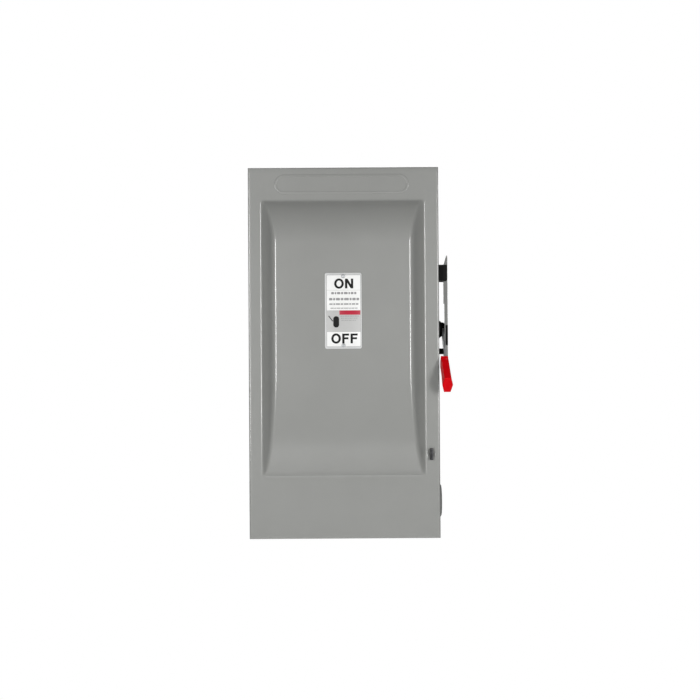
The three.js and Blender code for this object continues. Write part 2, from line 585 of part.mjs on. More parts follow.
function arcChute(name, x) {
  const outer = CHUTE.inner + CHUTE.wall;
  const seat = BASE.y0 - GAP;
  const left = box(x - outer, x - CHUTE.inner, CHUTE.front, seat, CHUTE.bottom, CHUTE.top);
  const right = box(x + CHUTE.inner, x + outer, CHUTE.front, seat, CHUTE.bottom, CHUTE.top);
  const lidBack = seat - BAR.thickness - 4;
  const lid = box(x - outer, x + outer, CHUTE.front, lidBack, CHUTE.top - CHUTE.wall, CHUTE.top);
  const fins = CHUTE.finAngles.map((angle) => box(x - CHUTE.inner - 1, x + CHUTE.inner + 1,
    -CHUTE_FIN.outer, -CHUTE_FIN.inner, -CHUTE_FIN.thickness / 2, CHUTE_FIN.thickness / 2)
    .rotate([-angle, 0, 0]).translate([0, ROTOR.y, ROTOR.z]));
  return toMesh(name, union(left, right, lid, ...fins), phenolic);
}

function fuse(name, x) {
  const half = FUSE.bodyLength / 2;
  const centre = [x, FUSE.y];
  const body = rod('z', FUSE.radius, FUSE.z - half, FUSE.z + half, centre);
  const caps = [-1, 1].map((side) => {
    const edge = FUSE.z + side * half;
    const inner = edge - side * FUSE.cap;
    return rod('z', FUSE.capRadius, Math.min(edge, inner), Math.max(edge, inner), centre);
  });
  const tongue = box(
    x - FUSE.thickness / 2, x + FUSE.thickness / 2, FUSE.y - FUSE.blade / 2, FUSE.y + FUSE.blade / 2,
    FUSE.z - half - FUSE.blade, FUSE.z + half + FUSE.blade);
  return toMesh(name, union(body, ...caps, tongue), fuseBody);
}

function pole(x, number) {
  const group = new THREE.Group();
  const fuseTop = FUSE.z + FUSE.bodyLength / 2;
  const fuseBottom = FUSE.z - FUSE.bodyLength / 2;
  const lineJaw = union(copperBar(x, LINE_JAW.z0 - 2, LINE_JAW.barTop),
    jaws(x, BLADE.thickness, JAW.front, LINE_JAW.z0, LINE_JAW.z1));
  const bladeHinge = union(copperBar(x, fuseTop + 1, BLADE_HINGE.z1 + 6),
    jaws(x, BLADE.thickness, BLADE_HINGE.front, BLADE_HINGE.z0, BLADE_HINGE.z1),
    jaws(x, FUSE.thickness, JAW.front, fuseTop + 1, fuseTop + FUSE.blade + 1));
  const lowerClip = union(copperBar(x, LUG.loadZ - LUG.height / 2, fuseBottom - 1),
    jaws(x, FUSE.thickness, JAW.front, fuseBottom - FUSE.blade - 1, fuseBottom - 1));
  group.add(toMesh(`line_jaw_${number}`, lineJaw, copper));
  group.add(toMesh(`blade_hinge_${number}`, bladeHinge, copper));
  group.add(toMesh(`lower_clip_${number}`, lowerClip, copper));
  group.add(wireLug(`line_lug_${number}`, x, LUG.lineZ));
  group.add(wireLug(`load_lug_${number}`, x, LUG.loadZ));
  group.add(arcChute(`arc_chute_${number}`, x));
  group.add(fuse(`fuse_${number}`, x));
  return group;
}

function lineShield() {
  const shelfZ = BASE.z1 + GAP;
  const top = shelfZ + SHIELD.sheet;
  const pane = box(BASE.x0, BASE.x1, SHIELD.front, SHIELD.front + SHIELD.sheet, SHIELD.bottom, top);
  const shelf = box(BASE.x0, BASE.x1, SHIELD.front, SHIELD.shelfBack, shelfZ, top);
  const probes = POLES.map((x) => rod(
    'y', SHIELD.probeRadius, SHIELD.front - 1, SHIELD.front + 3, [x, LUG.lineZ], 16));
  return toMesh('line_shield', cut(union(pane, shelf), ...probes), clearSheet);
}

function groundBar() {
  const { x0, x1, y0, z0, z1 } = GROUND_BAR;
  const middle = (z0 + z1) / 2;
  const bar = box(x0, x1, y0, -SHEET - GAP, z0, z1);
  const holes = [];
  for (let x = x0 + 12; x < x1; x += 16) {
    holes.push(rod('y', 2.5, y0 - 1, y0 + 6, [x, middle], 10));
  }
  return toMesh('ground_bar', cut(bar, ...holes), aluminium);
}

// ---- Assembly -----------------------------------------------------------------------------------

const disconnect = new THREE.Group();
disconnect.add(enclosureWrapper());
disconnect.add(endwall('top_endwall', 1));
disconnect.add(endwall('bottom_endwall', -1));
disconnect.add(hinge('hinge_upper', HINGE.z));
disconnect.add(hinge('hinge_lower', -HINGE.z));
disconnect.add(doorPanel());
disconnect.add(label());
disconnect.add(latch());
disconnect.add(doorCatch());
disconnect.add(sideFittings());
disconnect.add(handle());
disconnect.add(driveLink());
disconnect.add(rotor());
disconnect.add(mechanismFrame());
disconnect.add(operatingSpring());
disconnect.add(switchBase());
POLES.forEach((x, i) => disconnect.add(pole(x, i + 1)));
disconnect.add(lineShield());
disconnect.add(groundBar());

export default disconnect;
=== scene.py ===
import json
import math

import bmesh
import bpy
from mathutils import Matrix, Vector


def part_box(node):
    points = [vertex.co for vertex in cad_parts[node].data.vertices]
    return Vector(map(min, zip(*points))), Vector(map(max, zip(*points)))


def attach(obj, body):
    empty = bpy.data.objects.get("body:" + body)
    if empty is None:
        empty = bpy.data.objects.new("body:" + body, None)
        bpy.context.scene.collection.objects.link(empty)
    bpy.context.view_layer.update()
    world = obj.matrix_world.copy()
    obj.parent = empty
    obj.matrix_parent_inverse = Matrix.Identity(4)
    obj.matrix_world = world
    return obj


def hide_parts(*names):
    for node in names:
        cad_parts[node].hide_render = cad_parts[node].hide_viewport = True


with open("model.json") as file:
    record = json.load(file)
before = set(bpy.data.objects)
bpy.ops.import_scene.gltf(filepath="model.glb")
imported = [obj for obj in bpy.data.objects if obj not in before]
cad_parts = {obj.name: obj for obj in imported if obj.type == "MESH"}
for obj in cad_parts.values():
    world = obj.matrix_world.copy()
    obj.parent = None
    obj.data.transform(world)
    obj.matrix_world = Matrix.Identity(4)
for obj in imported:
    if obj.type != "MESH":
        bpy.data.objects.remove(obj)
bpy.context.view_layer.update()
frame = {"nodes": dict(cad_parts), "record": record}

MM = 0.001


# ---- Driving dimensions, in metres ----------------------------------------------------------------

DOOR_LOW, DOOR_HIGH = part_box("door_panel")
SHEET = 2 * MM
DOME_RISE = 37 * MM
DOOR_FRONT = DOOR_LOW.y + DOME_RISE  # the plane of the door's border

DOME_X = -1.3 * MM
DOME_HALF_WIDTH = 163.2 * MM
DOME_WALL = 24.7 * MM  # how far each side wall leans in over its full rise
DOME_TOP = 306 * MM
DOME_BOTTOM = -247 * MM
DOME_TOP_CURVE = 87 * MM
DOME_BOTTOM_CURVE = 230 * MM
TOP_STEEPNESS = 0.78  # the smaller, the steeper the end
BOTTOM_STEEPNESS = 0.6
CREST_BEND = 9.5 * MM
ROOT_BEND = 5.5 * MM
DOOR_EDGE_BEND = 3 * MM

BAND_CENTRE = (-3 * MM, 341 * MM)
BAND_SIZE = (272 * MM, 40 * MM)
BAND_RIM = 5 * MM  # how wide the band's raised rim is
BAND_RELIEF = 1 * MM

LEVER_ANGLE = math.radians(42)  # below the horizontal, at OFF
LEVER_LENGTH = 139 * MM  # from the pivot to the tip
LEVER_HALF_WIDTH = 11 * MM
LEVER_THICKNESS = 3.6 * MM
PADLOCK_REACH = 28 * MM  # from the pivot to the padlock hole
PADLOCK_RADIUS = 5 * MM
SHAFT_BORE = 7.3 * MM
CAP_RADIUS = 14.5 * MM
GRIP_START = 99 * MM  # from the pivot, along the lever
GRIP_END = 171 * MM

LATCH_TAB_WIDTH = 7 * MM
LATCH_TAB_HEIGHT = 4 * MM
LATCH_STEM_RADIUS = 4.2 * MM
DIMPLE_RADIUS = 9.5 * MM
DIMPLE_DEPTH = 1.6 * MM

FUSE_HALF_LENGTH = 66 * MM  # of the tube and its end caps
FUSE_RADIUS = 20 * MM
FUSE_CAP_LENGTH = 18 * MM
FUSE_CAP_STEP = 0.9 * MM  # how far a cap stands out from the tube
FUSE_BLADE = (24 * MM, 25 * MM, 5 * MM)  # depth, height and thickness
SPRING_TURNS = 7
SPRING_WIRE = 1.25 * MM  # its radius


def middle(node):
    low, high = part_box(node)
    return (low + high) / 2


LATCH = middle("latch_screw")
PIVOT = middle("handle_shaft")


# ---- Node materials -------------------------------------------------------------------------------

def new_material(name):
    material = bpy.data.materials.new(name)
    material.use_nodes = True
    nodes = material.node_tree.nodes
    return material, nodes, material.node_tree.links, nodes["Principled BSDF"]


def noise(nodes, links, scale, detail=3.0, roughness=0.5, stretch=(1, 1, 1)):
    coordinates = nodes.new("ShaderNodeTexCoord")
    mapping = nodes.new("ShaderNodeMapping")
    mapping.inputs["Scale"].default_value = stretch
    texture = nodes.new("ShaderNodeTexNoise")
    texture.inputs["Scale"].default_value = scale
    texture.inputs["Detail"].default_value = detail
    texture.inputs["Roughness"].default_value = roughness
    links.new(coordinates.outputs["Object"], mapping.inputs["Vector"])
    links.new(mapping.outputs["Vector"], texture.inputs["Vector"])
    return texture.outputs["Fac"]


def ramp(nodes, links, value, low, high, start=0.35, end=0.65):
    mix = nodes.new("ShaderNodeValToRGB")
    mix.color_ramp.elements[0].position = start
    mix.color_ramp.elements[0].color = (*low, 1)
    mix.color_ramp.elements[1].position = end
    mix.color_ramp.elements[1].color = (*high, 1)
    links.new(value, mix.inputs["Fac"])
    return mix.outputs["Color"]


def spread(nodes, links, value, low, high):
    mapped = nodes.new("ShaderNodeMapRange")
    mapped.inputs["From Min"].default_value = 0.3
    mapped.inputs["From Max"].default_value = 0.7
    mapped.inputs["To Min"].default_value = low
    mapped.inputs["To Max"].default_value = high
    links.new(value, mapped.inputs["Value"])
    return mapped.outputs["Result"]


def bump(nodes, links, value, strength, distance):
    node = nodes.new("ShaderNodeBump")
    node.inputs["Strength"].default_value = strength
    node.inputs["Distance"].default_value = distance
    links.new(value, node.inputs["Height"])
    return node.outputs["Normal"]


def surface(name, low, high, roughness, metallic=0.0, grain=400.0, relief=0.1, patch=14.0, coat=0.0,
            specular=0.5, stretch=(1, 1, 1)):
    """A finish whose colour and gloss drift over the part, with a fine grain in its surface."""
    material, nodes, links, shader = new_material(name)
    broad = noise(nodes, links, patch, 4.0, 0.6)
    fine = noise(nodes, links, grain, 2.0, 0.5, stretch)
    links.new(ramp(nodes, links, broad, low, high), shader.inputs["Base Color"])
    links.new(spread(nodes, links, broad, *roughness), shader.inputs["Roughness"])
    links.new(bump(nodes, links, fine, relief, 0.2 * MM), shader.inputs["Normal"])
    shader.inputs["Metallic"].default_value = metallic
    shader.inputs["Coat Weight"].default_value = coat
    shader.inputs["Coat Roughness"].default_value = 0.17
    shader.inputs["Coat IOR"].default_value = 1.7
    shader.inputs["Specular IOR Level"].default_value = specular
    return material


def print_finish(name, low, high, roughness, specular=0.5):
    return surface(name, low, high, roughness, grain=900.0, relief=0.02, specular=specular)


def floor_finish(name, glow):
    material = surface(name, (0.86,) * 3, (0.88,) * 3, (0.75, 0.85), grain=60.0, relief=0.02)
    shader = material.node_tree.nodes["Principled BSDF"]
    shader.inputs["Emission Color"].default_value = (1, 1, 1, 1)
    shader.inputs["Emission Strength"].default_value = glow
    return material


def clear_material(name):
    material, nodes, links, shader = new_material(name)
    haze = noise(nodes, links, 30.0)
    links.new(spread(nodes, links, haze, 0.04, 0.12), shader.inputs["Roughness"])
    shader.inputs["Base Color"].default_value = (0.93, 0.97, 0.98, 1)
    shader.inputs["Transmission Weight"].default_value = 0.92
    shader.inputs["IOR"].default_value = 1.2
    return material


GREY_PAINT = surface("grey_paint", (0.283, 0.286, 0.272), (0.297, 0.300, 0.286), (0.42, 0.50),
                     grain=520.0, relief=0.03, patch=5.0, coat=0.9)
ZINC = surface("zinc_steel", (0.42, 0.43, 0.44), (0.54, 0.55, 0.56), (0.30, 0.45), metallic=0.55,
               grain=260.0, relief=0.06, patch=60.0, stretch=(1, 1, 8))
DARK_STEEL = surface("dark_steel", (0.05, 0.05, 0.052), (0.09, 0.09, 0.092), (0.30, 0.45), metallic=0.8,
                     grain=600.0, relief=0.2, patch=160.0)
BLACK = surface("black_plastic", (0.0035, 0.0035, 0.0035), (0.006, 0.006, 0.006), (0.50, 0.60), grain=900.0,
                relief=0.12, specular=0.12)
RED = surface("red_grip", (0.65, 0.0005, 0.004), (0.72, 0.001, 0.006), (0.36, 0.46), grain=700.0, relief=0.06,
              patch=40.0, specular=0.08)
COPPER = surface("copper", (0.55, 0.27, 0.15), (0.66, 0.36, 0.22), (0.24, 0.38), metallic=1.0, grain=300.0,
                 relief=0.05, patch=45.0)
TIN = surface("tinned_aluminium", (0.55, 0.56, 0.57), (0.66, 0.67, 0.68), (0.30, 0.45), metallic=1.0,
              grain=500.0, relief=0.10, patch=70.0)
PHENOLIC = surface("black_phenolic", (0.020, 0.018, 0.016), (0.034, 0.030, 0.026), (0.42, 0.58), grain=650.0,
                   relief=0.15)
FIBRE = surface("red_fibre", (0.21, 0.030, 0.020), (0.29, 0.045, 0.028), (0.50, 0.65), grain=420.0,
                relief=0.2)
TUBE = surface("fuse_tube", (0.17, 0.21, 0.10), (0.21, 0.26, 0.13), (0.38, 0.50), grain=350.0, relief=0.08)
CLEAR = clear_material("clear_sheet")

LABEL_WHITE = print_finish("label_white", (0.87, 0.87, 0.855), (0.91, 0.91, 0.895), (0.28, 0.34))
LABEL_RIM = print_finish("label_rim", (0.60, 0.605, 0.60), (0.66, 0.665, 0.66), (0.30, 0.38))
LABEL_GREY = print_finish("label_grey", (0.50, 0.50, 0.49), (0.54, 0.54, 0.53), (0.32, 0.38))
INK_BLACK = print_finish("ink_black", (0.006,) * 3, (0.009,) * 3, (0.45, 0.52), specular=0.2)
INK_GREY = print_finish("ink_grey", (0.26,) * 3, (0.32,) * 3, (0.35, 0.42))
INK_RED = print_finish("ink_red", (0.46, 0.004, 0.03), (0.52, 0.006, 0.036), (0.32, 0.40))

FLOOR = floor_finish("floor_paper", 0)
PALE_FLOOR = floor_finish("pale_floor", 0.42)


# ---- Making pieces --------------------------------------------------------------------------------

def finish_piece(name, mesh, material, body, replaced=(), smooth_angle=35):
    """Puts a mesh in the scene, riding its body. It hides the CAD nodes that it replaces."""
    mesh.materials.clear()
    mesh.materials.append(material)
    for polygon in mesh.polygons:
        polygon.use_smooth = True
    mesh.set_sharp_from_angle(angle=math.radians(smooth_angle))
    piece = bpy.data.objects.new(name, mesh)
    bpy.context.scene.collection.objects.link(piece)
    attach(piece, body)
    if replaced:
        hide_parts(*replaced)
    return piece


def mesh_from(bm, name):
    bmesh.ops.recalc_face_normals(bm, faces=bm.faces)
    mesh = bpy.data.meshes.new(name)
    bm.to_mesh(mesh)
    bm.free()
    return mesh


def skin(name, rows):
    """A closed tube through rows of points, with flat ends."""
    bm = bmesh.new()
    loops = [[bm.verts.new(point) for point in row] for row in rows]
    count = len(rows[0])
    for first, second in zip(loops, loops[1:]):
        for i in range(count):
            bm.faces.new((first[i], first[(i + 1) % count], second[(i + 1) % count], second[i]))
    bm.faces.new(loops[0])
    bm.faces.new(loops[-1])
    return mesh_from(bm, name)


# Each axis name gives the matrix that carries a turned or flat shape's own Z to that axis.
ALONG = {
    "x": Matrix(((0, 0, 1, 0), (1, 0, 0, 0), (0, 1, 0, 0), (0, 0, 0, 1))),
    "y": Matrix(((1, 0, 0, 0), (0, 0, -1, 0), (0, 1, 0, 0), (0, 0, 0, 1))),
    "z": Matrix.Identity(4),
}


def turned(name, axis, centre, profile, segments=64):
    """A piece turned about one axis. The profile is (radius, distance along the axis from the centre)."""
    rows = []
    for radius, along in profile:
        ring = []
        for i in range(segments):
            angle = math.tau * i / segments
            ring.append(Vector((radius * math.cos(angle), radius * math.sin(angle), along)))
        rows.append(ring)
    mesh = skin(name, rows)
    mesh.transform(Matrix.Translation(centre) @ ALONG[axis])
    return mesh


def arc(centre, radius, start, end, count=12):
    """Points along an arc, from one angle to the other, in degrees."""
    points = []
    for i in range(count + 1):
        angle = math.radians(start + (end - start) * i / count)
        points.append((centre[0] + radius * math.cos(angle), centre[1] + radius * math.sin(angle)))
    return points


def ellipse(centre, half_width, half_height, count=48):
    angles = (math.tau * i / count for i in range(count))
    return [(centre[0] + half_width * math.cos(a), centre[1] + half_height * math.sin(a)) for a in angles]


def rod_profile(radius, length, chamfer):
    return [(radius - chamfer, 0), (radius, chamfer), (radius, length - chamfer), (radius - chamfer, length)]


def rounded_rectangle(width, height, radius, centre=(0, 0)):
    x, z = width / 2 - radius, height / 2 - radius
    corners = [((x, z), 0), ((-x, z), 90), ((-x, -z), 180), ((x, -z), 270)]
    points = []
    for (u, v), start in corners:
        points += arc((centre[0] + u, centre[1] + v), radius, start, start + 90, 8)
    return points


def bevel_edges(piece, width, segments, angle):
    bevel = piece.modifiers.new("edges", "BEVEL")
    bevel.width = width
    bevel.segments = segments
    bevel.limit_method = "ANGLE"
    bevel.angle_limit = math.radians(angle)
    return bevel


def slab(name, outlines, thickness, edge, placing):
    """A flat piece with softened edges. The first outline is its edge and the others are holes."""
    curve = bpy.data.curves.new(name, "CURVE")
    curve.dimensions = "2D"
    curve.fill_mode = "BOTH"
    curve.extrude = thickness / 2 - edge
    curve.bevel_depth = edge
    curve.bevel_resolution = 2
    curve.offset = -edge
    for outline in outlines:
        spline = curve.splines.new("POLY")
        spline.points.add(len(outline) - 1)
        for point, (u, v) in zip(spline.points, outline):
            point.co = (u, v, 0, 1)
        spline.use_cyclic_u = True
    holder = bpy.data.objects.new(name, curve)
    bpy.context.scene.collection.objects.link(holder)
    bpy.context.view_layer.update()
    mesh = bpy.data.meshes.new_from_object(holder.evaluated_get(bpy.context.evaluated_depsgraph_get()))
    bpy.data.objects.remove(holder)
    bm = bmesh.new()
    bm.from_mesh(mesh)
    bmesh.ops.remove_doubles(bm, verts=bm.verts, dist=1e-6)
    mesh = mesh_from(bm, name)
    mesh.transform(placing)
    return mesh


def on_door(x, y, z):
    """Carries a flat shape drawn in X and Z to a plane that faces the viewer, its middle at y."""
    return Matrix.Translation((x, y, z)) @ ALONG["y"]


def on_side(x, y, z, turn=0.0):
    """Carries a flat shape drawn in Y and Z to a plane that faces sideways, its middle at x."""
    return Matrix.Translation((x, y, z)) @ Matrix.Rotation(turn, 4, "X") @ ALONG["x"]


# ---- Carried-over CAD nodes -----------------------------------------------------------------------

def geometry_group(name):
    """An empty group of geometry nodes, with its way in and its way out."""
    group = bpy.data.node_groups.new(name, "GeometryNodeTree")
    for way in ("INPUT", "OUTPUT"):
        group.interface.new_socket("Geometry", in_out=way, socket_type="NodeSocketGeometry")
    return group, group.nodes.new("NodeGroupInput"), group.nodes.new("NodeGroupOutput")


def smoothing_group():
    """Shades a mesh smooth, and keeps the edges that bend by more than the limit sharp."""
    group, start, end = geometry_group("smooth_by_angle")
    nodes, links = group.nodes, group.links
    angle = nodes.new("GeometryNodeInputMeshEdgeAngle")
    gentle = nodes.new("FunctionNodeCompare")
    gentle.data_type = "FLOAT"
    gentle.operation = "LESS_THAN"
    gentle.inputs["B"].default_value = math.radians(30)
    edges = nodes.new("GeometryNodeSetShadeSmooth")
    edges.domain = "EDGE"
    faces = nodes.new("GeometryNodeSetShadeSmooth")
    faces.domain = "FACE"
    links.new(angle.outputs["Unsigned Angle"], gentle.inputs["A"])
    links.new(start.outputs["Geometry"], edges.inputs["Geometry"])
    links.new(gentle.outputs["Result"], edges.inputs["Shade Smooth"])
    links.new(edges.outputs["Geometry"], faces.inputs["Geometry"])
    links.new(faces.outputs["Geometry"], end.inputs["Geometry"])
    return group


def cleaning_group():
    """Joins the facets of a CAD mesh, so that its flat faces can be dissolved and its edges bevelled."""
    group, start, end = geometry_group("join_facets")
    nodes, links = group.nodes, group.links
    normals = nodes.new("GeometryNodeRemoveAttribute")
    normals.inputs["Name"].default_value = "custom_normal"
    join = nodes.new("GeometryNodeMergeByDistance")
    join.inputs["Distance"].default_value = 0.01 * MM
    links.new(start.outputs["Geometry"], normals.inputs["Geometry"])
    links.new(normals.outputs["Geometry"], join.inputs["Geometry"])
    links.new(join.outputs["Geometry"], end.inputs["Geometry"])
    return group


SMOOTHING = smoothing_group()
CLEANING = cleaning_group()


def dress(node, material):
    """Gives a CAD node its finish, and softens its edges without moving its faces."""
    piece = frame["nodes"][node]
    piece.data.materials.clear()
    piece.data.materials.append(material)
    joining = piece.modifiers.new("join_facets", "NODES")
    joining.node_group = CLEANING
    flats = piece.modifiers.new("flats", "DECIMATE")
    flats.decimate_type = "DISSOLVE"
    flats.angle_limit = math.radians(1)
    bevel_edges(piece, 0.4 * MM, segments=2, angle=35)
    smoothing = piece.modifiers.new("smooth_by_angle", "NODES")
    smoothing.node_group = SMOOTHING
    flatness = piece.modifiers.new("flat_faces", "WEIGHTED_NORMAL")
    flatness.keep_sharp = True
    flatness.weight = 90


# ---- The pressed door -----------------------------------------------------------------------------

FINE_STEP = 0.8 * MM  # between points, where the door's sheet bends


def soft_min(a, b, width):
    overlap = max(width - abs(a - b), 0) / width
    return min(a, b) - overlap * overlap * width / 4


def soft_max(a, b, width):
    return -soft_min(-a, -b, width)


def dome_cap(z):
    """The dome's height if it had no side walls. It climbs steeply from each end and then levels off."""
    top = (DOME_TOP - z) / DOME_TOP_CURVE
    bottom = (z - DOME_BOTTOM) / DOME_BOTTOM_CURVE
    nearest = min(top, bottom, 1)
    if nearest < 0:
        return nearest * DOME_RISE * 3
    steepness = TOP_STEEPNESS if top < bottom else BOTTOM_STEEPNESS
    return DOME_RISE * (1 - (1 - nearest) ** 2) ** steepness


def dome_height(x, z):
    wall = (DOME_HALF_WIDTH - abs(x - DOME_X)) * DOME_RISE / DOME_WALL
    return soft_max(soft_min(wall, dome_cap(z), CREST_BEND), 0, ROOT_BEND)


def latch_dimple(x, z):
    reach = math.hypot(x - LATCH.x, z - LATCH.z) / DIMPLE_RADIUS
    return 0 if reach >= 1 else DIMPLE_DEPTH * (1 - reach ** 4) ** 2


def stations(*stretches):
    """Values along a line, from (start, step) stretches. The last stretch's step is its end's."""
    values = []
    for (start, step), (end, _) in zip(stretches, stretches[1:]):
        count = max(1, round((end - start) / step))
        values += [start + (end - start) * i / count for i in range(count)]
    return values + [stretches[-1][0]]


def door_columns():
    edge = DOOR_HIGH.x - DOOR_EDGE_BEND
    left, right = DOME_X - DOME_HALF_WIDTH, DOME_X + DOME_HALF_WIDTH
    bend = 6 * MM
    crest = DOME_WALL + 9 * MM
    return stations((-edge, 5 * MM), (left - bend, FINE_STEP), (left + crest, 14 * MM),
                    (right - crest, FINE_STEP), (right + bend, 1.2 * MM), (edge, 0))


def door_rows():
    edge = DOOR_HIGH.z - DOOR_EDGE_BEND
    bend = 5 * MM
    return stations((-edge, 8 * MM), (DOME_BOTTOM - bend, FINE_STEP), (DOME_BOTTOM + 8 * MM, 2 * MM),
                    (LATCH.z - 12 * MM, 1.2 * MM), (LATCH.z + 12 * MM, 3 * MM),
                    (DOME_BOTTOM + DOME_BOTTOM_CURVE, 16 * MM), (DOME_TOP - DOME_TOP_CURVE, 3 * MM),
                    (DOME_TOP - 8 * MM, FINE_STEP), (DOME_TOP + bend, 8 * MM), (edge, 0))


def door_front(bm):
    """The door's face as rows of points, joined by faces."""
    columns = door_columns()
    sheet = []
    for z in door_rows():
        line = []
        for x in columns:
            y = DOOR_FRONT - dome_height(x, z) + latch_dimple(x, z)
            line.append(bm.verts.new((x, y, z)))
        sheet.append(line)
    for lower, upper in zip(sheet, sheet[1:]):
        for i in range(len(columns) - 1):
            bm.faces.new((lower[i], lower[i + 1], upper[i + 1], upper[i]))
    return sheet


def outward_step(place, limit):
    """1, 0 or -1: the way out of the door's face along one axis, from a point on its border."""
    return math.copysign(1, place) if abs(place) > limit - 0.001 * MM else 0


def door_flange(bm, sheet):
    """Rolls the face's border back into the flange around the door."""
    right = [line[-1] for line in sheet[:-1]]
    left = [line[0] for line in sheet[:0:-1]]
    border = sheet[0][:-1] + right + sheet[-1][:0:-1] + left
    corner = sheet[-1][-1].co
    outward = [Vector((outward_step(v.co.x, corner.x), 0, outward_step(v.co.z, corner.z))) for v in border]
    angles = (math.radians(d) for d in (22.5, 45, 67.5, 90))
    path = [(math.sin(a) * DOOR_EDGE_BEND, (1 - math.cos(a)) * DOOR_EDGE_BEND) for a in angles]
    path.append((DOOR_EDGE_BEND, DOOR_HIGH.y - DOOR_FRONT))
    previous = border
    for out, back in path:
        ring = []
        for v, way in zip(border, outward):
            ring.append(bm.verts.new(Vector((v.co.x, DOOR_FRONT + back, v.co.z)) + way * out))
        for i in range(len(ring)):
            after = (i + 1) % len(ring)
            bm.faces.new((previous[i], ring[i], ring[after], previous[after]))
        previous = ring


def door_skin():
    bm = bmesh.new()
    door_flange(bm, door_front(bm))
    mesh = mesh_from(bm, "door_skin")
    front = min(mesh.polygons, key=lambda polygon: polygon.center.y)
    if front.normal.y > 0:
        mesh.flip_normals()
    door = finish_piece("door_skin", mesh, GREY_PAINT, "door", ["door_panel"], 60)
    wall = door.modifiers.new("sheet", "SOLIDIFY")
    wall.thickness = SHEET
    wall.offset = -1


def door_band():
    """The plain pressed band above the dome, with a raised rim."""
    x, z = BAND_CENTRE
    width, height = BAND_SIZE
    end = height / 2 - 0.1 * MM
    outer = rounded_rectangle(width, height, end)
    inner = rounded_rectangle(width - 2 * BAND_RIM, height - 2 * BAND_RIM, end - BAND_RIM)
    rim = slab("door_band_rim", [outer, inner], 2 * BAND_RELIEF, 0.7 * MM, on_door(x, DOOR_FRONT, z))
    finish_piece("door_band_rim", rim, GREY_PAINT, "door")


# ---- Label ----------------------------------------------------------------------------------------

PRINT = 0.16 * MM  # how thick a printed layer is drawn
LETTER_HEIGHT = 19.4 * MM
LETTER_STROKE = 4.6 * MM
BAR_LENGTHS = (5, 3, 6, 4, 7, 3, 5, 4)  # one line of small print, as bars of unequal length

# The rows below are in millimetres, across from the label's middle and down from its top edge.

# The large words: name, distance down, and their letters as (letter, left edge, width).
LABEL_WORDS = [
    ("on", 21.4, [("O", -18.6, 19.2), ("N", 3.0, 16.4)]),
    ("off", 130.8, [("O", -25, 19.2), ("F", -3.2, 13.8), ("F", 13.4, 14.2)]),
]

# The lines of small print: name, distance across and down, width, height and the gaps between bars.
LABEL_LINES = [
    ("line_one", 0.5, 40.4, 50, 4.6, 1.4), ("line_two", 1, 52.4, 60, 4.8, 1.4),
    ("line_three", 0.6, 62.2, 58, 2.8, 1.2), ("line_four", 0.8, 70.4, 54, 1.6, 0.8),
]
LABEL_NOTES = [
    ("note_1", 12, 86.4, 37, 1.1, 0.9), ("note_2", 11, 90.4, 33, 1.1, 0.9),
    ("note_3", 10, 94.6, 29, 1.1, 0.9),
]


def flat_print(name, outlines, x, z, front, material):
    mesh = slab(name, outlines, PRINT, 0.02 * MM, on_door(x, front, z))
    finish_piece(name, mesh, material, "door")


def small_print(rows, x, top, front):
    """Lines of print, each as a row of plain bars."""
    for name, across, down, *sizes in rows:
        width, height, gap = (size * MM for size in sizes)
        unit = (width - gap * (len(BAR_LENGTHS) - 1)) / sum(BAR_LENGTHS)
        left = -width / 2
        outlines = []
        for length in BAR_LENGTHS:
            wide = length * unit
            outlines.append(rounded_rectangle(wide, height, 0.3 * height, (left + wide / 2, 0)))
            left += wide + gap
        flat_print(f"label_{name}", outlines, x + across * MM, top - down * MM, front, INK_GREY)


def capital(letter, left, width):
    """The outlines of one plain heavy capital, from its left edge, on a base line at zero."""
    right, height, stroke = left + width, LETTER_HEIGHT, LETTER_STROKE
    if letter == "O":
        centre = (left + width / 2, height / 2)
        tall = height / 2 * 1.05
        return [ellipse(centre, width / 2, tall), ellipse(centre, width / 2 - stroke, tall - 0.9 * stroke)]
    if letter == "N":
        lean = stroke * 1.08
        step = 1.75 * stroke
        return [[(left, 0), (left + stroke, 0), (left + stroke, height - step), (right - lean, 0), (right, 0),
                 (right, height), (right - stroke, height), (right - stroke, step), (left + lean, height),
                 (left, height)]]
    # The one that is left is F.
    waist, arm = height * 0.42, 0.85 * stroke
    short = right - 0.1 * width
    return [[(left, 0), (left + stroke, 0), (left + stroke, waist), (short, waist), (short, waist + arm),
             (left + stroke, waist + arm), (left + stroke, height - arm), (right, height - arm),
             (right, height), (left, height)]]


